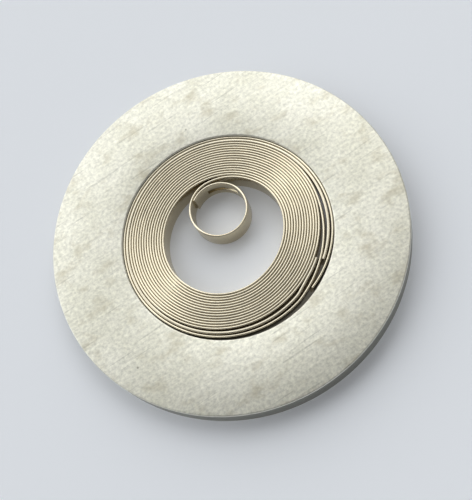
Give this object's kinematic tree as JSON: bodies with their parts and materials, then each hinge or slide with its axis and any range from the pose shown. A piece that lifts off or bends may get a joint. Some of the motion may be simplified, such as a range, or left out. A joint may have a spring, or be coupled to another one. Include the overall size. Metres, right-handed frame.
{
  "type": "watch mainspring",
  "caption": "Flat spiral spring of steel strip, wound in a flat metal retaining ring, with a bridle strip at its outer end and a round arbor coil with an eye at its inner end.",
  "frame": {"origin": "centre of the ring's underside, on the surface that the ring and the spring lie on", "axes": "+Z along the ring's axis, out of the face from which the strip runs inward counter-clockwise; +X 15 degrees counter-clockwise of the bridle's two ends, +Y towards the side on which the arbor coil lies"},
  "size_m": [0.0178, 0.0178, 0.0012],
  "materials": {
    "ring_metal": "matt, tumbled",
    "spring_strip": "satin, rolled, rounded edges",
    "bridle_strip": "satin, rolled"
  },
  "bodies": {
    "root": {"retaining_ring": "ring_metal", "mainspring": "spring_strip", "bridle": "bridle_strip"}
  },
  "joints": []
}
